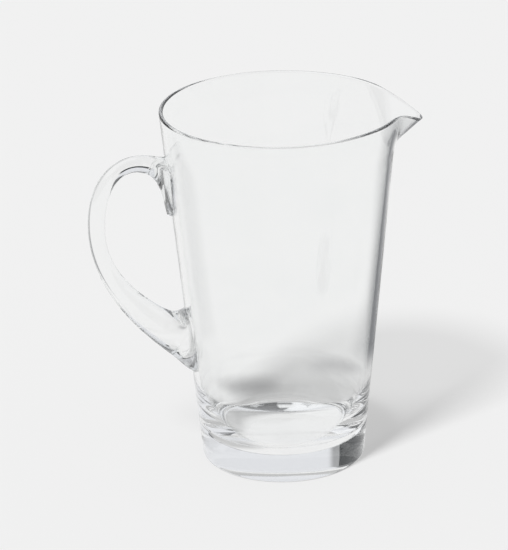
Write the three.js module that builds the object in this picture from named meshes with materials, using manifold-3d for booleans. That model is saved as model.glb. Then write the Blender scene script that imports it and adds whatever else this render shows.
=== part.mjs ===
import * as THREE from 'three';
import { mergeVertices } from 'three/addons/utils/BufferGeometryUtils.js';
import Module from 'manifold-3d';

// A clear glass jug in millimetres, +Z up, standing on z = 0 with its axis on Z.
// The pouring lip points along +X and the handle stands on the -X side.

// Vessel
const HEIGHT = 230;
const RIM_RADIUS = 73.4;
const BASE_RADIUS = 51.7;
const HEEL_RADIUS = 1;
const RIM_WALL = 2.6;
const LOW_WALL = 3.4;

// Inside of the base: a shallow dish, then a tall rounded corner up to the wall
const BASE_THICKNESS = 10.3;
const FLOOR_RADIUS = 38.5;
const FLOOR_RISE = 5.5;
const CORNER_HEIGHT = 38;
const CORNER_FLOOR_PULL = 7;
const CORNER_WALL_PULL = 14;

// Pouring lip, pulled outwards from the rim
const LIP_REACH = 14.9;
const LIP_DROP = 12.2;
const LIP_DEPTH = 29;
const LIP_BEND = 3.5;
const LIP_HALF_WIDTH = 21.7;
const LIP_ROOT_HALF_WIDTH = 8;
const LIP_POINT = 2.3;
const SWELL_REACH = 2.5;
const SWELL_HALF_WIDTH = 70;
const SWELL_EDGE = 4;

// Handle path: standoff is measured from the outside of the wall, heights down from the rim
const HANDLE_DROP = 33;
const HANDLE_SPAN = 119;
const HANDLE_REACH = 48.2;
const GRIP_DROP = 44.2;
const ARCH_RUN = 35;
const ARCH_RISE = 15.4;
const ARCH_PULL = 25;
const FOOT_PULL = 39;
const FOOT_RUN = 20.8;
const FOOT_SLOPE = THREE.MathUtils.degToRad(40);

// Handle rod: thickness in the plane of the loop, with shares of its length where it changes
const ROD_ARCH = 9;
const ROD_GRIP = 10.8;
const ROD_FOOT = 22.5;
const ARCH_END = 0.16;
const GRIP_START = 0.32;
const GRIP_END = 0.5;

// Upper joint: the rod is pressed on and drawn down the wall into a tail
const TAIL_LENGTH = 28.5;
const TAIL_THICKNESS = 3.5;
const TAIL_ROLL = 1.9;
const TAIL_TAPER = 0.35;
const UPRIGHT_REACH = 24;
const TOP_PAD_SPREAD = 9.5;
const TOP_PAD_FADE = 5;

// Lower joint: the thick foot spreads on the wall
const FOOT_PAD_SPREAD = 3.2;
const FOOT_PAD_FADE = 7;
const TOE_FLARE = 1.5;
const TOE_FADE = 9;
const TOE_DEPTH = 5;
const CROTCH_FLARE = 4.1;
const CROTCH_STANDOFF = 13;
const CROTCH_FADE = 2.55;
const CROTCH_DEPTH = 4;

// The handle's ends are run into the wall and cut back to it
const TOP_ROOT = 7;
const FOOT_ROOT = 24;
const JOIN_GAP = 0.3;
const CUT_MARGIN = 20;

// Facets
const BODY_COLUMNS = 80;
const COLUMN_CROWD = 0.55;
const HEEL_STEPS = 3;
const WALL_STEPS = 5;
const LIP_ZONE_STEPS = 9;
const RIM_STEPS = 6;
const CORNER_STEPS = 9;
const FLOOR_STEPS = 4;
const HANDLE_STATIONS = 76;
const STATION_CROWD = 0.6;
const HANDLE_SIDES = 20;
const CUT_COLUMNS = 180;

// Colour
const GLASS_COLOUR = 0xe6ebec;
const GLASS_ROUGHNESS = 0.04;

const wasm = await Module();
wasm.setup();

const WALL_SLOPE = (RIM_RADIUS - BASE_RADIUS) / HEIGHT;
const WALL_LEAN = Math.atan(WALL_SLOPE);

function outerRadius(z) {
  return BASE_RADIUS + WALL_SLOPE * z;
}

// The closed half section of the vessel, from the middle of its foot round to the middle of its floor.
function bodyProfile() {
  const heelCentre = outerRadius(HEEL_RADIUS) - HEEL_RADIUS / Math.cos(WALL_LEAN);
  const heel = new THREE.EllipseCurve(
    heelCentre,
    HEEL_RADIUS,
    HEEL_RADIUS,
    HEEL_RADIUS,
    -Math.PI / 2,
    -WALL_LEAN,
  );
  const rimRound = RIM_WALL / 2;
  const rimLevel = HEIGHT - rimRound;
  const rimCentre = outerRadius(rimLevel) - rimRound / Math.cos(WALL_LEAN);
  const rim = new THREE.EllipseCurve(
    rimCentre,
    rimLevel,
    rimRound,
    rimRound,
    -WALL_LEAN,
    Math.PI - WALL_LEAN,
  );
  const dishRadius = (FLOOR_RADIUS ** 2 + FLOOR_RISE ** 2) / (2 * FLOOR_RISE);
  const dishTurn = Math.asin(FLOOR_RADIUS / dishRadius);
  const dish = new THREE.EllipseCurve(
    0,
    BASE_THICKNESS + dishRadius,
    dishRadius,
    dishRadius,
    dishTurn - Math.PI / 2,
    -Math.PI / 2,
    true,
  );
  const floorEdge = new THREE.Vector2(FLOOR_RADIUS, BASE_THICKNESS + FLOOR_RISE);
  const alongFloor = new THREE.Vector2(Math.cos(dishTurn), Math.sin(dishTurn));
  const downWall = new THREE.Vector2(-Math.sin(WALL_LEAN), -Math.cos(WALL_LEAN));
  const cornerLevel = floorEdge.y + CORNER_HEIGHT;
  const cornerRadius = outerRadius(cornerLevel) - LOW_WALL / Math.cos(WALL_LEAN);
  const cornerTop = new THREE.Vector2(cornerRadius, cornerLevel);
  const corner = new THREE.CubicBezierCurve(
    cornerTop,
    cornerTop.clone().addScaledVector(downWall, CORNER_WALL_PULL),
    floorEdge.clone().addScaledVector(alongFloor, CORNER_FLOOR_PULL),
    floorEdge,
  );
  const lipLevel = HEIGHT - LIP_DEPTH - LIP_BEND;
  const outsideBreak = new THREE.Vector2(outerRadius(lipLevel), lipLevel);
  const rimInside = rim.getPoint(1);
  const lipShare = (rimInside.y - lipLevel) / (rimInside.y - cornerTop.y);
  const insideBreak = rimInside.clone().lerp(cornerTop, lipShare);
  const runs = [
    heel.getPoints(HEEL_STEPS),
    new THREE.LineCurve(heel.getPoint(1), outsideBreak).getPoints(WALL_STEPS),
    new THREE.LineCurve(outsideBreak, rim.getPoint(0)).getPoints(LIP_ZONE_STEPS),
    rim.getPoints(RIM_STEPS),
    new THREE.LineCurve(rimInside, insideBreak).getPoints(LIP_ZONE_STEPS),
    new THREE.LineCurve(insideBreak, cornerTop).getPoints(WALL_STEPS),
    corner.getPoints(CORNER_STEPS),
    dish.getPoints(FLOOR_STEPS),
  ];
  const points = [new THREE.Vector2(0, 0)];
  runs.forEach((run, index) => points.push(...(index ? run.slice(1) : run)));
  points[points.length - 1].x = 0;
  return points;
}

// How strongly the rim is drawn at an angle from the lip: 1 at its tip, fading past its sides.
function lipAcross(angle, halfWidth, edge) {
  const arc = Math.abs(angle) * RIM_RADIUS;
  return Math.exp(-((arc / halfWidth) ** edge));
}

// The channel of the lip narrows from the rim down to its root.
function lipHalfWidth(z) {
  const rise = THREE.MathUtils.clamp((z - HEIGHT + LIP_DEPTH) / LIP_DEPTH, 0, 1);
  return THREE.MathUtils.lerp(LIP_ROOT_HALF_WIDTH, LIP_HALF_WIDTH, rise);
}

// How far the wall has swung out at a height: straight above the bend, eased through it.
function lipSwing(z) {
  const above = z - (HEIGHT - LIP_DEPTH);
  if (above < -LIP_BEND) return 0;
  if (above > LIP_BEND) return above / LIP_DEPTH;
  return (above + LIP_BEND) ** 2 / (4 * LIP_BEND * LIP_DEPTH);
}

function buildBody() {
  const geometry = new THREE.LatheGeometry(bodyProfile(), BODY_COLUMNS, Math.PI / 2);
  geometry.rotateX(Math.PI / 2);
  const position = geometry.getAttribute('position');
  for (let i = 0; i < position.count; i += 1) {
    const z = position.getZ(i);
    const even = Math.atan2(position.getY(i), position.getX(i));
    const angle = even - COLUMN_CROWD * Math.sin(even);
    const swing = lipSwing(z);
    const pull = swing * lipAcross(angle, lipHalfWidth(z), LIP_POINT);
    const swell = swing * lipAcross(angle, SWELL_HALF_WIDTH, SWELL_EDGE);
    const radius = Math.hypot(position.getX(i), position.getY(i));
    const x = radius * Math.cos(angle) + LIP_REACH * pull + SWELL_REACH * swell;
    position.setXYZ(i, x, radius * Math.sin(angle), z - LIP_DROP * pull);
  }
  return geometry;
}

function besideWall(standoff, z) {
  return new THREE.Vector3(-outerRadius(z) - standoff, 0, z);
}

// The rod's centre line from inside the wall at the top, round the loop, to inside the wall at the foot.
function handlePath() {
  const top = HEIGHT - HANDLE_DROP;
  const grip = top - GRIP_DROP;
  const foot = top - HANDLE_SPAN;
  const footLead = besideWall(
    FOOT_RUN * Math.cos(FOOT_SLOPE),
    foot + FOOT_RUN * Math.sin(FOOT_SLOPE),
  );
  const upper = new THREE.CubicBezierCurve3(
    besideWall(0, top),
    besideWall(ARCH_RUN, top + ARCH_RISE),
    besideWall(HANDLE_REACH, grip + ARCH_PULL),
    besideWall(HANDLE_REACH, grip),
  );
  const lower = new THREE.CubicBezierCurve3(
    besideWall(HANDLE_REACH, grip),
    besideWall(HANDLE_REACH, grip - FOOT_PULL),
    footLead,
    besideWall(0, foot),
  );
  const topRoot = upper.v0.clone().addScaledVector(upper.getTangent(0), -TOP_ROOT);
  const footRoot = lower.v3.clone().addScaledVector(lower.getTangent(1), FOOT_ROOT);
  const path = new THREE.CurvePath();
  path.add(new THREE.LineCurve3(topRoot, upper.v0));
  path.add(upper);
  path.add(lower);
  path.add(new THREE.LineCurve3(lower.v3, footRoot));
  return path;
}

function fade(distance, start, length) {
  return Math.exp(-Math.max(distance, start) / length);
}

// How much of the tail is left at a standoff: all of it within its thickness, then rolling off.
function tailShare(standoff) {
  return Math.min(1, (TAIL_THICKNESS / Math.max(standoff, TAIL_THICKNESS)) ** TAIL_ROLL);
}

// Half sizes of the rod's section: towards the outside of the loop, towards its inside, and across.
// Near the upper joint the section turns upright, in line with the wall.
function rodSection(share, standoff) {
  const grip = THREE.MathUtils.smoothstep(share, ARCH_END, GRIP_START);
  const foot = THREE.MathUtils.smoothstep(share, GRIP_END, 1);
  const half = (ROD_ARCH + (ROD_GRIP - ROD_ARCH) * grip + (ROD_FOOT - ROD_GRIP) * foot) / 2;
  const low = THREE.MathUtils.smoothstep(share, GRIP_START, GRIP_END);
  const high = 1 - low;
  const tail = high * tailShare(standoff);
  const toe = low * fade(standoff, -TOE_DEPTH, TOE_FADE);
  const crotch = low * fade(standoff - CROTCH_STANDOFF, -CROTCH_DEPTH, CROTCH_FADE);
  const topPad = high * fade(standoff, 0, TOP_PAD_FADE);
  const footPad = low * fade(standoff, 0, FOOT_PAD_FADE);
  return {
    outside: half + TOE_FLARE * toe,
    inside: half + TAIL_LENGTH * tail + CROTCH_FLARE * crotch,
    across: half + TOP_PAD_SPREAD * topPad + FOOT_PAD_SPREAD * footPad,
    taper: TAIL_TAPER * tail,
    upright: high * (1 - THREE.MathUtils.smoothstep(standoff, TAIL_THICKNESS, UPRIGHT_REACH)),
  };
}

function solidOf(geometry) {
  const bare = geometry.clone();
  bare.deleteAttribute('normal');
  bare.deleteAttribute('uv');
  const merged = mergeVertices(bare);
  return new wasm.Manifold(
    new wasm.Mesh({
      numProp: 3,
      vertProperties: merged.attributes.position.array,
      triVerts: new Uint32Array(merged.index.array),
    }),
  );
}

function geometryOf(solid) {
  const mesh = solid.getMesh();
  const geometry = new THREE.BufferGeometry();
  geometry.setAttribute('position', new THREE.BufferAttribute(mesh.vertProperties, 3));
  geometry.setIndex(new THREE.BufferAttribute(mesh.triVerts, 1));
  geometry.computeVertexNormals();
  return geometry;
}

function loftHandle() {
  const path = handlePath();
  const length = path.getLength();
  const rodLength = length - TOP_ROOT - FOOT_ROOT;
  const upWall = new THREE.Vector3(-Math.sin(WALL_LEAN), 0, Math.cos(WALL_LEAN));
  const vertices = [];
  const faces = [];
  for (let i = 0; i <= HANDLE_STATIONS; i += 1) {
    const turn = (2 * Math.PI * i) / HANDLE_STATIONS;
    const t = (turn - STATION_CROWD * Math.sin(turn)) / (2 * Math.PI);
    const centre = path.getPoint(t);
    const along = path.getTangent(t);
    const share = THREE.MathUtils.clamp((t * length - TOP_ROOT) / rodLength, 0, 1);
    const standoff = -centre.x - outerRadius(centre.z);
    const section = rodSection(share, standoff);
    const outwards = new THREE.Vector3(along.z, 0, -along.x);
    outwards.lerp(upWall, section.upright).normalize();
    for (let k = 0; k < HANDLE_SIDES; k += 1) {
      const angle = (2 * Math.PI * k) / HANDLE_SIDES;
      const lift = Math.cos(angle);
      const reach = lift > 0 ? section.outside : section.inside;
      const narrow = lift > 0 ? 1 : 1 - section.taper * lift * lift;
      const point = centre.clone().addScaledVector(outwards, reach * lift);
      point.y = section.across * narrow * Math.sin(angle);
      vertices.push(point.x, point.y, point.z);
    }
  }
  const ring = (i, k) => i * HANDLE_SIDES + (k % HANDLE_SIDES);
  for (let i = 0; i < HANDLE_STATIONS; i += 1) {
    for (let k = 0; k < HANDLE_SIDES; k += 1) {
      faces.push(ring(i, k), ring(i, k + 1), ring(i + 1, k + 1));
      faces.push(ring(i, k), ring(i + 1, k + 1), ring(i + 1, k));
    }
  }
  for (let k = 1; k < HANDLE_SIDES - 1; k += 1) {
    faces.push(ring(0, 0), ring(0, k + 1), ring(0, k));
    faces.push(ring(HANDLE_STATIONS, 0), ring(HANDLE_STATIONS, k), ring(HANDLE_STATIONS, k + 1));
  }
  const geometry = new THREE.BufferGeometry();
  geometry.setAttribute('position', new THREE.Float32BufferAttribute(vertices, 3));
  geometry.setIndex(faces);
  return geometry;
}

// The outside of the vessel as a plain solid cone, grown by the joint's gap.
function wallCutter() {
  const low = -CUT_MARGIN;
  const high = HEIGHT + CUT_MARGIN;
  const grow = JOIN_GAP / Math.cos(WALL_LEAN);
  const cone = new THREE.CylinderGeometry(
    outerRadius(high) + grow,
    outerRadius(low) + grow,
    high - low,
    CUT_COLUMNS,
  );
  cone.rotateX(Math.PI / 2);
  cone.translate(0, 0, (low + high) / 2);
  return cone;
}

function buildHandle() {
  return geometryOf(solidOf(loftHandle()).subtract(solidOf(wallCutter())));
}

function glassPiece(name, geometry) {
  const material = new THREE.MeshStandardMaterial({
    color: GLASS_COLOUR,
    roughness: GLASS_ROUGHNESS,
    metalness: 0,
  });
  const mesh = new THREE.Mesh(geometry, material);
  mesh.name = name;
  return mesh;
}

const carafe = new THREE.Group();
carafe.name = 'carafe';
carafe.add(glassPiece('body', buildBody()));
carafe.add(glassPiece('handle', buildHandle()));

export default carafe;
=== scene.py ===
import math

import bpy
from mathutils import Matrix, Vector


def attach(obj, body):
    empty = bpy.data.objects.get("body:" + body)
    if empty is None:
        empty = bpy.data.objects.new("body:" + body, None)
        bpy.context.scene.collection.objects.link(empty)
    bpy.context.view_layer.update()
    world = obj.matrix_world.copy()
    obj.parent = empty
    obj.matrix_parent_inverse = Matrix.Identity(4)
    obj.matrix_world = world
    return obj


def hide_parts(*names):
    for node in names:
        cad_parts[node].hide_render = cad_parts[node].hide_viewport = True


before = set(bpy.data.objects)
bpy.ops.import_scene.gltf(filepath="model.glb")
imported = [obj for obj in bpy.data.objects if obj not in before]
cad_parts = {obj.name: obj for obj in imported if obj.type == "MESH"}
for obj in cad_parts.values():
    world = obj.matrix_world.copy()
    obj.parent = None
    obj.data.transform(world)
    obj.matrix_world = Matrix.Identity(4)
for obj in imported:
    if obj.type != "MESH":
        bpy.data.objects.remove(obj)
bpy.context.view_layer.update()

bl_info = {
    "name": "Glass Jug",
    "version": (1, 0, 0),
    "blender": (4, 5, 0),
    "location": "View3D > Sidebar > Jug",
    "description": "Models a clear glass jug with a pulled lip and a drawn loop handle",
    "category": "Add Mesh",
}

MM = 0.001

# Points along each stretch of the vessel's half section.
FLAT_STEPS = 8
HEEL_STEPS = 14
WALL_STEPS = 34
LIP_STEPS = 26
RIM_STEPS = 16
CORNER_STEPS = 40
FLOOR_STEPS = 24
WELD_SHARE = 1e-3  # of the rim's wall, the reach within which the turned seam closes

# Edges sharper than this many degrees stay sharp.
BODY_SMOOTH = 60
HANDLE_SMOOTH = 40

# Points along each half of the handle's centre line, the straight rod's step from ring to ring, and the cone
# that cuts its ends.
ROUTE_STEPS = 400
ROD_STEP = 0.001
CUT_MARGIN = 0.02
CUT_COLUMNS = 960

# Waves in the glass, which part of them becomes cords, and how they crowd along each axis.
WAVE_DETAIL = 1.0
CORD_BAND = (0.45, 0.7)
BODY_STRETCH = (1.0, 1.0, 2.0)
HANDLE_STRETCH = (1.5, 2.0, 1.0)

# How often light may turn inside the thick glass, and how many surfaces a lamp's light passes.
LIGHT_BOUNCES = 96
SHADOW_BOUNCES = 24

# Floor and camera, in metres but for the sensor, which is in millimetres.
FLOOR_SIZE = 12.0
FLOOR_CELLS = 4
FLOOR_CLEARANCE = 0.0002
SENSOR_WIDTH = 36.0
VIEW_END = 100.0

# Soft dark patches of painted shade on the floor that only the glass sees. Each patch: azimuth from the lip,
# half width and blur of its sides in degrees, where it begins and ends and how softly in metres, then its
# light. The first lies beyond the lip and the second far behind the jug, as painted dark reflections in the
# glass. The others are painted shadow that deepens the shadow close behind it.
PAINTED_SHADE_PATCHES = (
    (34, 16, 12, 0.152, 0.66, 0.022, (0.22, 0.225, 0.235)),
    (80, 17, 3, 1.3, 9.0, 0.06, (0.03, 0.033, 0.036)),
    (97, 10, 9, 0.07, 0.09, 0.016, (0.3, 0.3, 0.305)),
    (57, 9, 8, 0.1, 0.128, 0.016, (0.48, 0.48, 0.485)),
)

# Room as the glass sees it, each panel over those before it: azimuth from the lip, half width, lowest and
# highest elevation and softness in degrees, then its light and whether its edge is torn.
ROOM_COLOUR = (0.16, 0.163, 0.168)
PANELS = (
    ((-85, 42, 16, 90, 7), (0.05, 0.052, 0.055), False),
    ((180, 180, 66, 90, 6), (0.12, 0.122, 0.127), False),
    ((162, 74, 28, 88, 5), (0.94, 0.95, 0.97), False),
    ((-110, 25, 67, 78, 4), (0.85, 0.86, 0.87), False),
    ((39, 69, -5, 42, 3), (0.77, 0.78, 0.81), False),
    ((141, 27, 15, 27.8, 0.5), (0.03, 0.034, 0.037), True),
)
TEAR_SCALE = (6.0, 6.0, 40.0)
TEAR_DETAIL = 3.0
TEAR_SIZE = 0.12


def length(name, description, millimetres):
    """A size in metres whose default is given in millimetres."""
    return bpy.props.FloatProperty(
        name=name,
        description=description,
        default=millimetres * MM,
        subtype="DISTANCE",
        unit="LENGTH",
        precision=5,
    )


def share(name, description, default):
    """A plain number without a unit."""
    return bpy.props.FloatProperty(name=name, description=description, default=default, precision=4)


def angle(name, description, degrees):
    """An angle whose default is given in degrees."""
    return bpy.props.FloatProperty(
        name=name,
        description=description,
        default=math.radians(degrees),
        subtype="ANGLE",
        unit="ROTATION",
    )


def count(name, description, default):
    """A whole number of steps."""
    return bpy.props.IntProperty(name=name, description=description, default=default, min=1)


def colour(name, description, default):
    """A linear colour."""
    return bpy.props.FloatVectorProperty(
        name=name, description=description, default=default, size=3, subtype="COLOR", min=0.0, max=1.0
    )


class JugVessel(bpy.types.PropertyGroup):
    """Sizes of the blown vessel and its lip."""

    height: length("Height", "From the table to the rim", 230)
    rim_radius: length("Rim radius", "Outside radius at the rim", 73.4)
    base_radius: length("Base radius", "Outside radius at the table, without the rounded heel", 51.7)
    heel_radius: length("Heel radius", "Rounding between the underside and the wall", 1)
    rim_wall: length("Rim wall", "Wall thickness at the rim", 2.6)
    low_wall: length("Low wall", "Wall thickness above the inside corner", 3.4)
    base_thickness: length("Base thickness", "Solid glass under the middle of the inside floor", 10.3)
    floor_radius: length("Floor radius", "Dished part of the inside floor", 38.5)
    floor_rise: length("Floor rise", "How far the dished floor rises to its edge", 5.5)
    corner_height: length("Corner height", "Height of the rounded inside corner", 38)
    corner_floor_pull: length("Corner floor pull", "How far the corner runs on from the floor", 7)
    corner_wall_pull: length("Corner wall pull", "How far the corner runs on from the wall", 14)
    lip_reach: length("Lip reach", "How far the lip is pulled out of the rim", 14.9)
    lip_drop: length("Lip drop", "How far the tip sinks below the rim", 12.2)
    lip_depth: length("Lip depth", "How far below the rim the lip begins", 29)
    lip_bend: length("Lip bend", "Half height of the soft bend where the lip begins", 3.5)
    lip_half_width: length("Lip half width", "Half width of the lip along the rim", 21.7)
    lip_root_half_width: length("Lip root half width", "Half width of the lip where it begins", 8)
    lip_point: share("Lip point", "How squarely the lip fades at its sides", 2.3)
    swell_reach: length("Swell reach", "How far the whole rim leans towards the lip", 2.5)
    swell_half_width: length("Swell half width", "Half width of that lean along the rim", 70)
    swell_edge: share("Swell edge", "How squarely that lean fades at its sides", 4)
    columns: count("Columns", "Columns of faces round the vessel", 320)


class JugHandle(bpy.types.PropertyGroup):
    """Sizes of the drawn handle."""

    drop: length("Drop", "From the rim down to the upper joint", 33)
    span: length("Span", "From the upper joint down to the lower joint", 119)
    reach: length("Reach", "Standoff of the grip from the wall", 48.2)
    grip_drop: length("Grip drop", "From the upper joint down to the widest place", 44.2)
    arch_run: length("Arch run", "Outward pull of the arch at the upper joint", 35)
    arch_rise: length("Arch rise", "Upward pull of the arch at the upper joint", 15.4)
    arch_pull: length("Arch pull", "Upward pull of the grip towards the arch", 25)
    foot_pull: length("Foot pull", "Downward pull of the grip towards the foot", 39)
    foot_run: length("Foot run", "Outward pull at the lower joint", 20.8)
    foot_slope: angle("Foot slope", "Slope of the rod at the lower joint", 40)
    rod_arch: length("Arch rod", "Thickness of the rod in the arch", 9)
    rod_grip: length("Grip rod", "Thickness of the rod in the grip", 10.8)
    rod_foot: length("Foot rod", "Thickness of the rod at the foot", 22.5)
    arch_end: share("Arch end", "Share of the rod's length where the arch ends", 0.16)
    grip_start: share("Grip start", "Share of the rod's length where the grip starts", 0.32)
    grip_end: share("Grip end", "Share of the rod's length where the grip ends", 0.5)
    tail_length: length("Tail length", "Length of the tail drawn down the wall", 28.5)
    tail_thickness: length("Tail thickness", "Thickness of the tail on the wall", 3.5)
    tail_roll: share("Tail roll", "How fast the tail rolls off the rod", 1.9)
    tail_taper: share("Tail taper", "How much the tail narrows", 0.35)
    upright_reach: length("Upright reach", "Standoff over which sections turn upright", 24)
    top_pad_spread: length("Top pad spread", "Sideways spread of the upper joint", 9.5)
    top_pad_fade: length("Top pad fade", "Standoff over which that spread fades", 5)
    foot_pad_spread: length("Foot pad spread", "Sideways spread of the lower joint", 3.2)
    foot_pad_fade: length("Foot pad fade", "Standoff over which that spread fades", 7)
    toe_flare: length("Toe flare", "Downward spread of the lower joint", 1.5)
    toe_fade: length("Toe fade", "Standoff over which that spread fades", 9)
    toe_depth: length("Toe depth", "Depth inside the wall where it stops growing", 5)
    crotch_flare: length("Crotch flare", "Upward spread of the lower joint", 4.1)
    crotch_standoff: length("Crotch standoff", "Standoff where that spread starts to fade", 13)
    crotch_fade: length("Crotch fade", "Standoff over which that spread fades", 2.55)
    crotch_depth: length("Crotch depth", "Standoff below which it stops growing", 4)
    top_root: length("Top root", "Length of rod run into the wall at the top", 7)
    foot_root: length("Foot root", "Length of rod run into the wall at the foot", 24)
    fusing: length("Fusing", "How deep the handle's ends melt into the wall", 0.4)
    stations: count("Stations", "Rings of vertices along the rod", 220)
    station_crowd: share("Station crowd", "How much the rings crowd at both ends", 0.6)
    sides: count("Sides", "Vertices round the rod", 64)


class JugGlass(bpy.types.PropertyGroup):
    """Finish of the glass."""

    tint: colour("Tint", "Colour of the clear glass", (0.990, 0.994, 0.992))
    cord_tint: colour("Cord tint", "Colour of the faint cords drawn through it", (0.982, 0.988, 0.986))
    refraction: share("Refraction", "Index of refraction", 1.52)
    wave_height: length("Wave height", "Height of the faint waves in the surface", 0.02)
    wave_strength: share("Wave strength", "How strongly the waves bend the light", 0.25)
    polish: share("Polish", "Roughness of the least polished places", 0.004)
    wave_scale: share("Wave scale", "Waves in one metre", 26.0)
    clearness: share("Clearness", "Share of lamp light that one surface lets through", 0.8)
    rod_clearness: share("Rod clearness", "The same share for the handle", 0.97)
    edge_power: share("Edge power", "How narrow the shadow of a wall seen edge on is", 7)
    thick_light: share("Thick light", "Share of lamp light that leaves the thick corner", 0.75)
    thick_level: length("Thick level", "Height where the thick corner ends", 54)
    thick_radius: length("Thick radius", "Radius where the thick corner begins", 42)
    thick_soft: length("Thick softness", "Half width of those two limits", 8)


class JugStudio(bpy.types.PropertyGroup):
    """Floor, light and camera."""

    floor_colour: colour("Floor colour", "Colour of the floor", (0.871, 0.871, 0.871))
    floor_glow: share("Floor glow", "Share of the floor's own even light", 0.5)
    # The pool is painted light: for rays that come by way of the glass, the floor there is lit fully and
    # evenly, in place of the light that the base gathers and of the shadow under it.
    painted_pool_azimuth: angle("Pool azimuth", "Where the base gathers light, round the jug from its lip", -45)
    painted_pool_distance: length("Pool distance", "From the jug's axis to the middle of that light", 24)
    painted_pool_radius: length("Pool radius", "Radius of that light", 55)
    painted_pool_soft: length("Pool softness", "Half width of its soft edge", 10)
    key_light: share("Key light", "Strength of the key light", 3.4)
    key_size: angle("Key size", "Angle that the key light fills", 10)
    key_azimuth: angle("Key azimuth", "Round the jug from its lip", -133)
    key_elevation: angle("Key elevation", "Above the table", 56)
    room_light: colour("Room light", "Light of the room on the floor", (0.12, 0.12, 0.12))
    camera_distance: length("Camera distance", "From the jug's axis along the floor", 1620.4)
    camera_height: length("Camera height", "Above the table", 786.6)
    camera_turn: angle("Camera turn", "Round the jug, away from its broad side", 10)
    camera_pitch: angle("Camera pitch", "Downwards", 22.38)
    camera_yaw: angle("Camera yaw", "Sideways", -0.596)
    camera_roll: angle("Camera roll", "About the line of sight", -1.157)
    camera_lens: share("Camera lens", "Focal length in millimetres", 183.0)


def settings():
    """The sizes and colours that the sidebar shows."""
    return bpy.context.scene.jug_vessel, bpy.context.scene.jug_handle, bpy.context.scene.jug_glass


def smoothstep(value, low, high):
    """Eases from 0 at low to 1 at high."""
    t = min(max((value - low) / (high - low), 0.0), 1.0)
    return t * t * (3 - 2 * t)


def fade(distance, start, reach):
    """Falls off with distance, and no longer grows below start."""
    return math.exp(-max(distance, start) / reach)


def cubic(points, t):
    """A point of a cubic curve and its direction."""
    a, b, c, d = points
    s = 1 - t
    place = a * s**3 + b * (3 * s * s * t) + c * (3 * s * t * t) + d * t**3
    heading = (b - a) * (3 * s * s) + (c - b) * (6 * s * t) + (d - c) * (3 * t * t)
    return place, heading.normalized()


def clear_selection():
    """Leaves nothing selected."""
    if bpy.context.object and bpy.context.object.mode != "OBJECT":
        bpy.ops.object.mode_set(mode="OBJECT")
    bpy.ops.object.select_all(action="DESELECT")


def apply_modifier(piece, modifier):
    """Applies one modifier to a piece."""
    bpy.context.view_layer.objects.active = piece
    bpy.ops.object.modifier_apply(modifier=modifier.name)


def smooth_piece(piece, degrees):
    """Smooth shading with edges sharper than an angle left sharp."""
    clear_selection()
    piece.select_set(True)
    bpy.context.view_layer.objects.active = piece
    bpy.ops.object.shade_smooth_by_angle(angle=math.radians(degrees))


def dress(piece, name, node, material):
    """Names a finished piece, gives it its glass and puts it in the frame."""
    if not piece.data.polygons:
        raise RuntimeError(f"{name} came out without faces")
    piece.name = name
    piece.data.name = name
    piece.data.materials.clear()
    piece.data.materials.append(material)
    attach(piece, "root")
    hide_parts(node)


def wall_slope(vessel):
    """How fast the wall widens upwards."""
    return (vessel.rim_radius - vessel.base_radius) / vessel.height


def outer_radius(vessel, z):
    """Outside radius of the plain wall at a height."""
    return vessel.base_radius + wall_slope(vessel) * z


def arc(centre, radii, start, end, steps):
    """Points of an elliptical arc."""
    turns = [start + (end - start) * i / steps for i in range(steps + 1)]
    return [(centre[0] + radii[0] * math.cos(t), centre[1] + radii[1] * math.sin(t)) for t in turns]


def run(start, end, steps):
    """Points of a straight stretch, crowded towards both ends."""
    shares = [(1 - math.cos(math.pi * i / steps)) / 2 for i in range(steps + 1)]
    return [(start[0] + (end[0] - start[0]) * s, start[1] + (end[1] - start[1]) * s) for s in shares]


def vessel_profile(vessel):
    """Half section of the vessel, from the middle of the underside to the middle of the inside floor."""
    lean = math.atan(wall_slope(vessel))
    heel = vessel.heel_radius
    heel_centre = (outer_radius(vessel, heel) - heel / math.cos(lean), heel)
    heel_arc = arc(heel_centre, (heel, heel), -math.pi / 2, -lean, HEEL_STEPS)
    rim = vessel.rim_wall / 2
    rim_level = vessel.height - rim
    rim_centre = (outer_radius(vessel, rim_level) - rim / math.cos(lean), rim_level)
    rim_arc = arc(rim_centre, (rim, rim), -lean, math.pi - lean, RIM_STEPS)
    dish = (vessel.floor_radius**2 + vessel.floor_rise**2) / (2 * vessel.floor_rise)
    dish_turn = math.asin(vessel.floor_radius / dish)
    dish_centre = (0.0, vessel.base_thickness + dish)
    floor_arc = arc(dish_centre, (dish, dish), dish_turn - math.pi / 2, -math.pi / 2, FLOOR_STEPS)
    floor_edge = Vector(floor_arc[0])
    corner_level = floor_edge.y + vessel.corner_height
    corner_radius = outer_radius(vessel, corner_level) - vessel.low_wall / math.cos(lean)
    corner_top = Vector((corner_radius, corner_level))
    corner = [
        corner_top,
        corner_top - Vector((math.sin(lean), math.cos(lean))) * vessel.corner_wall_pull,
        floor_edge + Vector((math.cos(dish_turn), math.sin(dish_turn))) * vessel.corner_floor_pull,
        floor_edge,
    ]
    corner_arc = [tuple(cubic(corner, i / CORNER_STEPS)[0]) for i in range(CORNER_STEPS + 1)]
    lip_level = vessel.height - vessel.lip_depth - vessel.lip_bend
    outside_break = (outer_radius(vessel, lip_level), lip_level)
    rim_inside = rim_arc[-1]
    lip_share = (rim_inside[1] - lip_level) / (rim_inside[1] - corner_top[1])
    inside_break = (rim_inside[0] + (corner_top[0] - rim_inside[0]) * lip_share, lip_level)
    runs = [
        run((0.0, 0.0), heel_arc[0], FLAT_STEPS),
        heel_arc,
        run(heel_arc[-1], outside_break, WALL_STEPS),
        run(outside_break, rim_arc[0], LIP_STEPS),
        rim_arc,
        run(rim_inside, inside_break, LIP_STEPS),
        run(inside_break, corner_top, WALL_STEPS),
        corner_arc,
        floor_arc,
    ]
    points = [runs[0][0]]
    for stretch in runs:
        points += stretch[1:]
    return points


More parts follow.
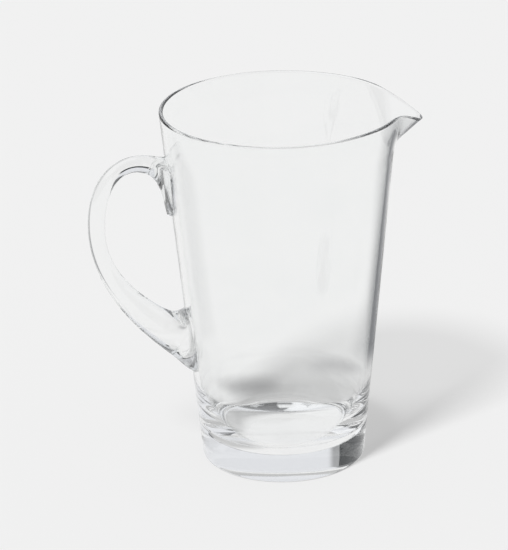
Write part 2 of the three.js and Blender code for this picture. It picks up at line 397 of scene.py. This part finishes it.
def lip_across(vessel, turn, half_width, edge):
    """How strongly the rim is drawn at an angle from the lip."""
    return math.exp(-((abs(turn) * vessel.rim_radius / half_width) ** edge))


def lip_half_width(vessel, z):
    """Half width of the lip's channel, which narrows from the rim down to its root."""
    rise = min(max((z - vessel.height + vessel.lip_depth) / vessel.lip_depth, 0.0), 1.0)
    return vessel.lip_root_half_width + (vessel.lip_half_width - vessel.lip_root_half_width) * rise


def lip_swing(vessel, z):
    """How far the wall has swung out at a height."""
    above = z - (vessel.height - vessel.lip_depth)
    bend = vessel.lip_bend
    if above < -bend:
        return 0.0
    if above > bend:
        return above / vessel.lip_depth
    return (above + bend) ** 2 / (4 * bend * vessel.lip_depth)


def pull_lip(piece, vessel):
    """Draws the lip out of the rim with weighted displacements."""
    pull = piece.vertex_groups.new(name="lip_pull")
    swell = piece.vertex_groups.new(name="lip_swell")
    for vertex in piece.data.vertices:
        x, y, z = vertex.co
        swing = lip_swing(vessel, z)
        if swing <= 0:
            continue
        turn = math.atan2(y, x)
        drawn = swing * lip_across(vessel, turn, lip_half_width(vessel, z), vessel.lip_point)
        leant = swing * lip_across(vessel, turn, vessel.swell_half_width, vessel.swell_edge)
        pull.add([vertex.index], drawn, "REPLACE")
        swell.add([vertex.index], leant, "REPLACE")
    moves = [
        ("lip_pull", "X", vessel.lip_reach),
        ("lip_swell", "X", vessel.swell_reach),
        ("lip_pull", "Z", -vessel.lip_drop),
    ]
    for group, axis, distance in moves:
        move = piece.modifiers.new(f"{group}_{axis}", "DISPLACE")
        move.vertex_group = group
        move.direction = axis
        move.mid_level = 0.0
        move.strength = distance
        apply_modifier(piece, move)
    piece.vertex_groups.clear()


class JUG_OT_body(bpy.types.Operator):
    """Turn the vessel from its half section and pull its lip"""

    bl_idname = "jug.body"
    bl_label = "Vessel"

    def execute(self, context):
        vessel, _, glass = settings()
        points = vessel_profile(vessel)
        clear_selection()
        bpy.ops.mesh.primitive_plane_add(size=vessel.rim_wall, location=(points[0][0], 0, points[0][1]))
        piece = context.object
        bpy.ops.object.transform_apply(location=True, rotation=True, scale=True)
        bpy.ops.object.mode_set(mode="EDIT")
        bpy.ops.mesh.select_mode(type="VERT")
        bpy.ops.mesh.select_all(action="SELECT")
        bpy.ops.mesh.merge(type="CENTER")
        for (r0, z0), (r1, z1) in zip(points, points[1:]):
            bpy.ops.mesh.extrude_vertices_move(
                TRANSFORM_OT_translate={"value": (r1 - r0, 0.0, z1 - z0)}
            )
        bpy.ops.mesh.select_all(action="SELECT")
        bpy.ops.mesh.spin(
            steps=vessel.columns, angle=2 * math.pi, center=(0, 0, 0), axis=(0, 0, 1), use_auto_merge=False
        )
        bpy.ops.mesh.select_all(action="SELECT")
        bpy.ops.mesh.remove_doubles(threshold=vessel.rim_wall * WELD_SHARE)
        bpy.ops.mesh.normals_make_consistent(inside=False)
        bpy.ops.object.mode_set(mode="OBJECT")
        pull_lip(piece, vessel)
        smooth_piece(piece, BODY_SMOOTH)
        dress(piece, "glass_body", "body", body_glass(glass))
        return {"FINISHED"}


def beside_wall(vessel, standoff, z):
    """A point of the handle's plane, outside the wall."""
    return Vector((-outer_radius(vessel, z) - standoff, 0.0, z))


def handle_route(vessel, handle):
    """The rod's centre line as (distance, place, direction), from inside the wall to inside the wall."""
    top = vessel.height - handle.drop
    grip = top - handle.grip_drop
    foot = top - handle.span
    lead = handle.foot_run
    upper = [
        beside_wall(vessel, 0.0, top),
        beside_wall(vessel, handle.arch_run, top + handle.arch_rise),
        beside_wall(vessel, handle.reach, grip + handle.arch_pull),
        beside_wall(vessel, handle.reach, grip),
    ]
    lower = [
        upper[3],
        beside_wall(vessel, handle.reach, grip - handle.foot_pull),
        beside_wall(
            vessel,
            lead * math.cos(handle.foot_slope),
            foot + lead * math.sin(handle.foot_slope),
        ),
        beside_wall(vessel, 0.0, foot),
    ]
    route = [cubic(upper, i / ROUTE_STEPS) for i in range(ROUTE_STEPS)]
    route += [cubic(lower, i / ROUTE_STEPS) for i in range(ROUTE_STEPS + 1)]
    first, heading_in = route[0]
    last, heading_out = route[-1]
    route.insert(0, (first - heading_in * handle.top_root, heading_in))
    route.append((last + heading_out * handle.foot_root, heading_out))
    distance = 0.0
    walked = []
    for i, (place, heading) in enumerate(route):
        if i:
            distance += (place - route[i - 1][0]).length
        walked.append((distance, place, heading))
    return walked


def along_route(route, distance):
    """Place and direction at a distance along the centre line."""
    for (d0, p0, h0), (d1, p1, h1) in zip(route, route[1:]):
        if distance <= d1:
            t = (distance - d0) / (d1 - d0)
            return p0.lerp(p1, t), h0.lerp(h1, t).normalized()
    return route[-1][1].copy(), route[-1][2].copy()


def rod_section(handle, along, standoff):
    """Half sizes of the rod outside the loop, inside it and across, the tail's taper and upright turn."""
    grip = smoothstep(along, handle.arch_end, handle.grip_start)
    foot = smoothstep(along, handle.grip_end, 1.0)
    thick = handle.rod_arch + (handle.rod_grip - handle.rod_arch) * grip
    half = (thick + (handle.rod_foot - handle.rod_grip) * foot) / 2
    low = smoothstep(along, handle.grip_start, handle.grip_end)
    high = 1 - low
    rolled = (handle.tail_thickness / max(standoff, handle.tail_thickness)) ** handle.tail_roll
    tail = high * min(1.0, rolled)
    toe = low * fade(standoff, -handle.toe_depth, handle.toe_fade)
    crotch = low * fade(standoff - handle.crotch_standoff, -handle.crotch_depth, handle.crotch_fade)
    top_pad = high * fade(standoff, 0.0, handle.top_pad_fade)
    foot_pad = low * fade(standoff, 0.0, handle.foot_pad_fade)
    outside = half + handle.toe_flare * toe
    inside = half + handle.tail_length * tail + handle.crotch_flare * crotch
    across = half + handle.top_pad_spread * top_pad + handle.foot_pad_spread * foot_pad
    upright = high * (1 - smoothstep(standoff, handle.tail_thickness, handle.upright_reach))
    return outside, inside, across, handle.tail_taper * tail, upright


def station_distance(handle, station, total):
    """Distance along the rod of a ring of vertices, crowded at both ends."""
    turn = 2 * math.pi * station / handle.stations
    return total * (turn - handle.station_crowd * math.sin(turn)) / (2 * math.pi)


def bend_rod(piece, vessel, handle):
    """Sets a straight rod, one unit long per ring, on the handle's centre line and gives it its sections."""
    route = handle_route(vessel, handle)
    total = route[-1][0]
    rod = total - handle.top_root - handle.foot_root
    lean = math.atan(wall_slope(vessel))
    up_wall = Vector((-math.sin(lean), 0.0, math.cos(lean)))
    rings = []
    for station in range(handle.stations + 1):
        distance = station_distance(handle, station, total)
        place, heading = along_route(route, distance)
        along = min(max((distance - handle.top_root) / rod, 0.0), 1.0)
        standoff = -place.x - outer_radius(vessel, place.z)
        section = rod_section(handle, along, standoff)
        outwards = Vector((heading.z, 0.0, -heading.x)).lerp(up_wall, section[4]).normalized()
        rings.append((place, outwards, section))
    for vertex in piece.data.vertices:
        station = round(vertex.co.z / ROD_STEP)
        place, outwards, (outside, inside, across, taper, _) = rings[station]
        turn = math.atan2(vertex.co.y, vertex.co.x)
        lift = math.cos(turn)
        reach = outside if lift > 0 else inside
        narrow = 1.0 if lift > 0 else 1 - taper * lift * lift
        point = place + outwards * (reach * lift)
        point.y = across * narrow * math.sin(turn)
        vertex.co = point


def wall_cutter(vessel, handle):
    """The vessel's outside as a plain cone, less the depth to which the handle melts in."""
    lean = math.atan(wall_slope(vessel))
    low = -CUT_MARGIN
    high = vessel.height + CUT_MARGIN
    sink = handle.fusing / math.cos(lean)
    clear_selection()
    bpy.ops.mesh.primitive_cone_add(
        vertices=CUT_COLUMNS,
        radius1=outer_radius(vessel, low) - sink,
        radius2=outer_radius(vessel, high) - sink,
        depth=high - low,
        location=(0, 0, (low + high) / 2),
    )
    cutter = bpy.context.object
    bpy.ops.object.transform_apply(location=True, rotation=True, scale=True)
    return cutter


class JUG_OT_handle(bpy.types.Operator):
    """Draw the rod, bend it into the loop and seat its ends on the wall"""

    bl_idname = "jug.handle"
    bl_label = "Handle"

    def execute(self, context):
        vessel, handle, glass = settings()
        clear_selection()
        bpy.ops.mesh.primitive_circle_add(
            vertices=handle.sides, radius=handle.rod_grip / 2, fill_type="NGON", location=(0, 0, 0)
        )
        piece = context.object
        bpy.ops.object.mode_set(mode="EDIT")
        bpy.ops.mesh.select_mode(type="FACE")
        bpy.ops.mesh.select_all(action="SELECT")
        for _ in range(handle.stations):
            bpy.ops.mesh.extrude_region_move(TRANSFORM_OT_translate={"value": (0.0, 0.0, ROD_STEP)})
        bpy.ops.object.mode_set(mode="OBJECT")
        bend_rod(piece, vessel, handle)
        bpy.ops.object.mode_set(mode="EDIT")
        bpy.ops.mesh.select_all(action="SELECT")
        bpy.ops.mesh.normals_make_consistent(inside=False)
        bpy.ops.object.mode_set(mode="OBJECT")
        cutter = wall_cutter(vessel, handle)
        seat = piece.modifiers.new("seat_on_wall", "BOOLEAN")
        seat.operation = "DIFFERENCE"
        seat.solver = "EXACT"
        seat.object = cutter
        apply_modifier(piece, seat)
        bpy.data.objects.remove(cutter, do_unlink=True)
        smooth_piece(piece, HANDLE_SMOOTH)
        dress(piece, "glass_handle", "handle", handle_glass(glass))
        return {"FINISHED"}


def direction(azimuth, elevation):
    """A unit vector towards a place in the room."""
    flat = math.cos(elevation)
    return Vector((flat * math.cos(azimuth), flat * math.sin(azimuth), math.sin(elevation)))


def math_node(tree, operation, *values):
    """A math node fed by sockets or numbers, and its result."""
    node = tree.nodes.new("ShaderNodeMath")
    node.operation = operation
    for socket, value in zip(node.inputs, values):
        if isinstance(value, bpy.types.NodeSocket):
            tree.links.new(value, socket)
        else:
            socket.default_value = value
    return node.outputs["Value"]


def ramp(tree, value, low, high):
    """Eases from 0 to 1 between two values of a socket."""
    node = tree.nodes.new("ShaderNodeMapRange")
    node.interpolation_type = "SMOOTHSTEP"
    tree.links.new(value, node.inputs["Value"])
    node.inputs["From Min"].default_value = low
    node.inputs["From Max"].default_value = high
    return node.outputs["Result"]


def towards(tree, vector, aim):
    """How far a vector reaches towards an aim."""
    node = tree.nodes.new("ShaderNodeVectorMath")
    node.operation = "DOT_PRODUCT"
    tree.links.new(vector, node.inputs[0])
    node.inputs[1].default_value = aim
    return node.outputs["Value"]


def distance_from(tree, place, centre):
    """Distance between a place and a fixed point."""
    node = tree.nodes.new("ShaderNodeVectorMath")
    node.operation = "DISTANCE"
    tree.links.new(place, node.inputs[0])
    node.inputs[1].default_value = centre
    return node.outputs["Value"]


def mix_colours(tree, part, first, second):
    """Goes from a first colour to a second, each a socket or a fixed colour."""
    node = tree.nodes.new("ShaderNodeMix")
    node.data_type = "RGBA"
    tree.links.new(part, node.inputs["Factor"])
    for socket, value in zip((node.inputs["A"], node.inputs["B"]), (first, second)):
        if isinstance(value, bpy.types.NodeSocket):
            tree.links.new(value, socket)
        else:
            socket.default_value = (*value, 1.0)
    return node.outputs["Result"]


def mix_shaders(tree, part, first, second):
    """Goes from a first shader to a second."""
    node = tree.nodes.new("ShaderNodeMixShader")
    tree.links.new(part, node.inputs["Fac"])
    tree.links.new(first, node.inputs[1])
    tree.links.new(second, node.inputs[2])
    return node.outputs["Shader"]


def even_light(tree, light):
    """A shader of one even light."""
    node = tree.nodes.new("ShaderNodeEmission")
    node.inputs["Color"].default_value = (*light, 1.0)
    return node.outputs["Emission"]


def mirrored_ray(tree, path):
    """1 where a ray comes by way of the glass."""
    return math_node(tree, "MAXIMUM", path.outputs["Is Glossy Ray"], path.outputs["Is Transmission Ray"])


def add_socket(group, name, side, kind):
    """One named input or output of a node group."""
    return group.interface.new_socket(name, in_out=side, socket_type=kind)


def drawn_glass():
    """Node group for the faint cords, waves and polish of drawn glass, built once."""
    group = bpy.data.node_groups.get("drawn_glass")
    if group:
        return group
    group = bpy.data.node_groups.new("drawn_glass", "ShaderNodeTree")
    add_socket(group, "Tint", "INPUT", "NodeSocketColor")
    add_socket(group, "Cord Tint", "INPUT", "NodeSocketColor")
    add_socket(group, "Stretch", "INPUT", "NodeSocketVector")
    add_socket(group, "Scale", "INPUT", "NodeSocketFloat")
    add_socket(group, "Polish", "INPUT", "NodeSocketFloat")
    add_socket(group, "Color", "OUTPUT", "NodeSocketColor")
    add_socket(group, "Roughness", "OUTPUT", "NodeSocketFloat")
    add_socket(group, "Height", "OUTPUT", "NodeSocketFloat")
    given = group.nodes.new("NodeGroupInput")
    result = group.nodes.new("NodeGroupOutput")
    place = group.nodes.new("ShaderNodeTexCoord")
    stretch = group.nodes.new("ShaderNodeVectorMath")
    stretch.operation = "MULTIPLY"
    group.links.new(place.outputs["Object"], stretch.inputs[0])
    group.links.new(given.outputs["Stretch"], stretch.inputs[1])
    waves = group.nodes.new("ShaderNodeTexNoise")
    waves.inputs["Detail"].default_value = WAVE_DETAIL
    group.links.new(stretch.outputs["Vector"], waves.inputs["Vector"])
    group.links.new(given.outputs["Scale"], waves.inputs["Scale"])
    cords = ramp(group, waves.outputs["Fac"], *CORD_BAND)
    tint = mix_colours(group, cords, given.outputs["Tint"], given.outputs["Cord Tint"])
    group.links.new(tint, result.inputs["Color"])
    group.links.new(math_node(group, "MULTIPLY", cords, given.outputs["Polish"]), result.inputs["Roughness"])
    group.links.new(waves.outputs["Fac"], result.inputs["Height"])
    return group


def clear_glass(name, glass, stretch):
    """Clear glass with faint waves that run along one direction."""
    material = bpy.data.materials.new(name)
    material.use_nodes = True
    tree = material.node_tree
    shader = tree.nodes["Principled BSDF"]
    shader.inputs["IOR"].default_value = glass.refraction
    shader.inputs["Transmission Weight"].default_value = 1.0
    look = tree.nodes.new("ShaderNodeGroup")
    look.node_tree = drawn_glass()
    look.inputs["Tint"].default_value = (*glass.tint, 1.0)
    look.inputs["Cord Tint"].default_value = (*glass.cord_tint, 1.0)
    look.inputs["Stretch"].default_value = stretch
    look.inputs["Scale"].default_value = glass.wave_scale
    look.inputs["Polish"].default_value = glass.polish
    waves = tree.nodes.new("ShaderNodeBump")
    waves.inputs["Strength"].default_value = glass.wave_strength
    waves.inputs["Distance"].default_value = glass.wave_height
    tree.links.new(look.outputs["Color"], shader.inputs["Base Color"])
    tree.links.new(look.outputs["Roughness"], shader.inputs["Roughness"])
    tree.links.new(look.outputs["Height"], waves.inputs["Height"])
    tree.links.new(waves.outputs["Normal"], shader.inputs["Normal"])
    return material


def thick_corner(tree, glass):
    """Share of lamp light that the thick corner lets out at a place, 1 elsewhere."""
    place = tree.nodes.new("ShaderNodeTexCoord")
    parts = tree.nodes.new("ShaderNodeSeparateXYZ")
    tree.links.new(place.outputs["Object"], parts.inputs["Vector"])
    x, y, z = (parts.outputs[axis] for axis in "XYZ")
    square = math_node(tree, "ADD", math_node(tree, "MULTIPLY", x, x), math_node(tree, "MULTIPLY", y, y))
    soft = glass.thick_soft
    outer = ramp(tree, math_node(tree, "SQRT", square), glass.thick_radius - soft, glass.thick_radius + soft)
    low = ramp(tree, z, glass.thick_level + soft, glass.thick_level - soft)
    part = math_node(tree, "MULTIPLY", math_node(tree, "MULTIPLY", outer, low), 1 - glass.thick_light)
    return math_node(tree, "SUBTRACT", 1.0, part)


def let_light_through(material, glass, clearness, thick):
    """Lets lamp light through to the floor, less where a wall is seen edge on or where the glass is thick."""
    tree = material.node_tree
    weight = tree.nodes.new("ShaderNodeLayerWeight")
    grazing = math_node(tree, "POWER", weight.outputs["Facing"], glass.edge_power)
    light = math_node(tree, "MULTIPLY", math_node(tree, "SUBTRACT", 1.0, grazing), clearness)
    if thick:
        light = math_node(tree, "MULTIPLY", light, thick_corner(tree, glass))
    through = tree.nodes.new("ShaderNodeBsdfTransparent")
    tree.links.new(light, through.inputs["Color"])
    path = tree.nodes.new("ShaderNodeLightPath")
    glass_or_light = mix_shaders(
        tree,
        path.outputs["Is Shadow Ray"],
        tree.nodes["Principled BSDF"].outputs["BSDF"],
        through.outputs["BSDF"],
    )
    tree.links.new(glass_or_light, tree.nodes["Material Output"].inputs["Surface"])


def body_glass(glass):
    """Glass of the vessel, with waves that lie round it."""
    material = clear_glass("body_glass", glass, BODY_STRETCH)
    let_light_through(material, glass, glass.clearness, True)
    return material


def handle_glass(glass):
    """Glass of the handle, with waves that run along the rod."""
    material = clear_glass("handle_glass", glass, HANDLE_STRETCH)
    let_light_through(material, glass, glass.rod_clearness, False)
    return material


def lay_floor(studio):
    """A pale floor just under the jug, plain where the camera sees it; the glass also shows painted light and
    shade on it.
    """
    clear_selection()
    bpy.ops.mesh.primitive_grid_add(
        x_subdivisions=FLOOR_CELLS,
        y_subdivisions=FLOOR_CELLS,
        size=FLOOR_SIZE,
        location=(0, 0, -FLOOR_CLEARANCE),
    )
    floor = bpy.context.object
    floor.name = "floor"
    bpy.ops.object.transform_apply(location=True, rotation=True, scale=True)
    floor.data.materials.append(floor_paint(studio))


def painted_shade_mask(tree, place, shade_patch):
    """1 on a painted shade patch of the floor and 0 beside it, with soft edges."""
    azimuth, half_width, blur, beginning, end, soft = shade_patch
    distance = distance_from(tree, place, Vector())
    aim = direction(math.radians(azimuth), 0.0)
    facing = math_node(tree, "DIVIDE", towards(tree, place, aim), distance)
    outer, inner = (math.cos(math.radians(half_width + shift)) for shift in (blur, -blur))
    beyond = ramp(tree, distance, beginning - soft, beginning + soft)
    within = math_node(tree, "MULTIPLY", beyond, ramp(tree, distance, end + soft, end - soft))
    return math_node(tree, "MULTIPLY", ramp(tree, facing, outer, inner), within)


def floor_paint(studio):
    """Matt paint, partly lit evenly where it is seen. Glass also sees a painted pool of light under the base
    and painted dark patches of painted shade.
    """
    material = bpy.data.materials.new("floor_paint")
    material.use_nodes = True
    tree = material.node_tree
    shader = tree.nodes["Principled BSDF"]
    shader.inputs["Base Color"].default_value = (*studio.floor_colour, 1.0)
    shader.inputs["Roughness"].default_value = 1.0
    shader.inputs["Specular IOR Level"].default_value = 0.0
    path = tree.nodes.new("ShaderNodeLightPath")
    mirrored = mirrored_ray(tree, path)
    seen = math_node(tree, "MAXIMUM", path.outputs["Is Camera Ray"], mirrored)
    place = tree.nodes.new("ShaderNodeTexCoord").outputs["Object"]
    # Painted pool of light under the base, seen only by way of the glass.
    spread = distance_from(tree, place, direction(studio.painted_pool_azimuth, 0.0) * studio.painted_pool_distance)
    edge, soft = studio.painted_pool_radius, studio.painted_pool_soft
    painted_pool = math_node(tree, "MULTIPLY", ramp(tree, spread, edge + soft, edge - soft), mirrored)
    part = math_node(tree, "MAXIMUM", math_node(tree, "MULTIPLY", seen, studio.floor_glow), painted_pool)
    seen_floor = mix_shaders(tree, part, shader.outputs["BSDF"], even_light(tree, studio.floor_colour))
    # Painted shade: each patch darkens the floor for rays that come by way of the glass.
    for *shade_patch, light in PAINTED_SHADE_PATCHES:
        painted_shade = math_node(tree, "MULTIPLY", painted_shade_mask(tree, place, shade_patch), mirrored)
        seen_floor = mix_shaders(tree, painted_shade, seen_floor, even_light(tree, light))
    tree.links.new(seen_floor, tree.nodes["Material Output"].inputs["Surface"])
    return material


def panel_mask(tree, sight, panel, ragged):
    """1 towards a panel of the room and 0 beside it, with soft edges that a ragged value shifts."""
    way, height, flat = sight
    azimuth, half_width, low, high, soft = (math.radians(value) for value in panel)
    facing = math_node(tree, "DIVIDE", towards(tree, way, direction(azimuth, 0.0)), flat)
    if ragged:
        facing = math_node(tree, "ADD", facing, ragged)
    all_round = half_width + soft > math.pi
    wide = 1.0 if all_round else ramp(tree, facing, math.cos(half_width + soft), math.cos(half_width - soft))
    above = ramp(tree, height, math.sin(low - soft), math.sin(low + soft))
    under = math.sin(high - soft)
    over = math.sin(high + soft) if high + soft < math.pi / 2 else 2 - under
    below = ramp(tree, height, over, under)
    return math_node(tree, "MULTIPLY", math_node(tree, "MULTIPLY", wide, above), below)


def torn_edge(tree, way):
    """Small uneven shifts for the edge of a torn panel."""
    stretch = tree.nodes.new("ShaderNodeVectorMath")
    stretch.operation = "MULTIPLY"
    stretch.inputs[1].default_value = TEAR_SCALE
    tree.links.new(way, stretch.inputs[0])
    noise = tree.nodes.new("ShaderNodeTexNoise")
    noise.inputs["Scale"].default_value = 1.0
    noise.inputs["Detail"].default_value = TEAR_DETAIL
    tree.links.new(stretch.outputs["Vector"], noise.inputs["Vector"])
    return math_node(tree, "MULTIPLY", math_node(tree, "SUBTRACT", noise.outputs["Fac"], 0.5), TEAR_SIZE)


def room_seen(tree):
    """Light of the room in every direction, as the glass sees it."""
    way = tree.nodes.new("ShaderNodeTexCoord").outputs["Generated"]
    parts = tree.nodes.new("ShaderNodeSeparateXYZ")
    tree.links.new(way, parts.inputs["Vector"])
    height = parts.outputs["Z"]
    square = math_node(tree, "MULTIPLY", height, height)
    flat = math_node(tree, "SQRT", math_node(tree, "SUBTRACT", 1.0, square))
    seen = ROOM_COLOUR
    for panel, light, torn in PANELS:
        mask = panel_mask(tree, (way, height, flat), panel, torn_edge(tree, way) if torn else None)
        seen = mix_colours(tree, mask, seen, light)
    return seen


def hang_lamp(name, strength, size, way):
    """A far soft lamp that lights the floor and that the glass doesn't mirror."""
    sun = bpy.data.lights.new(name, "SUN")
    sun.energy = strength
    sun.angle = size
    lamp = bpy.data.objects.new(name, sun)
    bpy.context.scene.collection.objects.link(lamp)
    lamp.rotation_euler = (-way).to_track_quat("-Z", "Y").to_euler()
    lamp.visible_glossy = False
    lamp.visible_transmission = False


def light_studio(studio):
    """A key light, even light from the room on the floor, and a room of panels that only the glass sees."""
    scene = bpy.context.scene
    world = scene.world or bpy.data.worlds.new("studio")
    scene.world = world
    world.use_nodes = True
    tree = world.node_tree
    tree.nodes.clear()
    path = tree.nodes.new("ShaderNodeLightPath")
    lit = mix_colours(tree, mirrored_ray(tree, path), studio.room_light, room_seen(tree))
    shown = mix_colours(tree, path.outputs["Is Camera Ray"], lit, studio.floor_colour)
    background = tree.nodes.new("ShaderNodeBackground")
    tree.links.new(shown, background.inputs["Color"])
    output = tree.nodes.new("ShaderNodeOutputWorld")
    tree.links.new(background.outputs["Background"], output.inputs["Surface"])
    hang_lamp("key", studio.key_light, studio.key_size, direction(studio.key_azimuth, studio.key_elevation))
    scene.cycles.caustics_refractive = False
    scene.cycles.caustics_reflective = False
    scene.cycles.max_bounces = LIGHT_BOUNCES
    scene.cycles.glossy_bounces = LIGHT_BOUNCES
    scene.cycles.transmission_bounces = LIGHT_BOUNCES
    scene.cycles.transparent_max_bounces = SHADOW_BOUNCES


def aim_camera(studio):
    """The camera at the photograph's viewing angle."""
    pitch, yaw, roll = studio.camera_pitch, studio.camera_yaw, studio.camera_roll
    forward = Vector((math.sin(yaw) * math.cos(pitch), math.cos(yaw) * math.cos(pitch), -math.sin(pitch)))
    level = Vector((math.cos(yaw), -math.sin(yaw), 0.0))
    rise = level.cross(forward)
    right = level * math.cos(roll) + rise * math.sin(roll)
    up = rise * math.cos(roll) - level * math.sin(roll)
    turn = Matrix.Rotation(-studio.camera_turn, 4, "Z")
    place = Vector((0.0, -studio.camera_distance, studio.camera_height))
    axes = Matrix((right, up, -forward)).transposed().to_4x4()
    data = bpy.data.cameras.new("camera")
    data.lens = studio.camera_lens
    data.sensor_width = SENSOR_WIDTH
    data.sensor_fit = "AUTO"
    data.clip_end = VIEW_END
    camera = bpy.data.objects.new("camera", data)
    bpy.context.scene.collection.objects.link(camera)
    camera.matrix_world = turn @ Matrix.Translation(place) @ axes
    bpy.context.scene.camera = camera


class JUG_OT_stage(bpy.types.Operator):
    """Set the floor, the light and the camera"""

    bl_idname = "jug.stage"
    bl_label = "Stage"

    def execute(self, context):
        studio = context.scene.jug_studio
        lay_floor(studio)
        light_studio(studio)
        aim_camera(studio)
        context.scene.view_settings.view_transform = "Standard"
        return {"FINISHED"}


class JUG_PT_tools(bpy.types.Panel):
    """The jug's pieces and sizes"""

    bl_label = "Glass Jug"
    bl_idname = "JUG_PT_tools"
    bl_space_type = "VIEW_3D"
    bl_region_type = "UI"
    bl_category = "Jug"

    def draw(self, context):
        for operator in OPERATORS:
            self.layout.operator(operator.bl_idname)
        for group in GROUPS:
            values = getattr(context.scene, group)
            box = self.layout.box()
            for name in values.bl_rna.properties.keys():
                if name not in {"rna_type", "name"}:
                    box.prop(values, name)


GROUPS = {
    "jug_vessel": JugVessel,
    "jug_handle": JugHandle,
    "jug_glass": JugGlass,
    "jug_studio": JugStudio,
}
OPERATORS = (JUG_OT_body, JUG_OT_handle, JUG_OT_stage)


def register():
    for group in GROUPS.values():
        bpy.utils.register_class(group)
    for operator in OPERATORS:
        bpy.utils.register_class(operator)
    bpy.utils.register_class(JUG_PT_tools)
    for name, group in GROUPS.items():
        setattr(bpy.types.Scene, name, bpy.props.PointerProperty(type=group))


def unregister():
    for name in GROUPS:
        delattr(bpy.types.Scene, name)
    bpy.utils.unregister_class(JUG_PT_tools)
    for operator in reversed(OPERATORS):
        bpy.utils.unregister_class(operator)
    for group in reversed(list(GROUPS.values())):
        bpy.utils.unregister_class(group)


def main():
    register()
    bpy.ops.jug.body()
    bpy.ops.jug.handle()
    bpy.ops.jug.stage()


if __name__ == "__main__":
    main()
